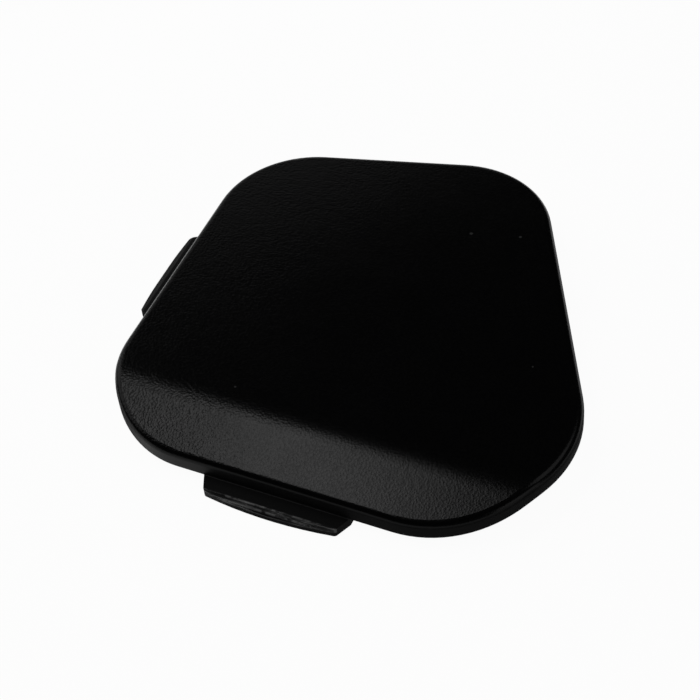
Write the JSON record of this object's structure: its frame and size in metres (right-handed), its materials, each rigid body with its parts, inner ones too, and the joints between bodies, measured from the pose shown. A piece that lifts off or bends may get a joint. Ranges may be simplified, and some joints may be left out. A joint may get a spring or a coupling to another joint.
{
  "type": "tow hook cover",
  "caption": "Black grained plastic cover for the towing eye opening in a bumper: a rounded plate with a bent lower band, tongues at two edges and snap latches behind.",
  "frame": {"origin": "middle of the bounding box, on the plane that the bottom tongue and the two latches stand on", "axes": "+Z out of the face, +X along the straight top edge, +Y up the face towards the top edge"},
  "size_m": [0.0877, 0.0926, 0.0089],
  "materials": {
    "moulded_plastic": "fine leather grain on the face, plain satin on the edge and the back"
  },
  "bodies": {
    "root": {"cover": "moulded_plastic"}
  },
  "joints": []
}
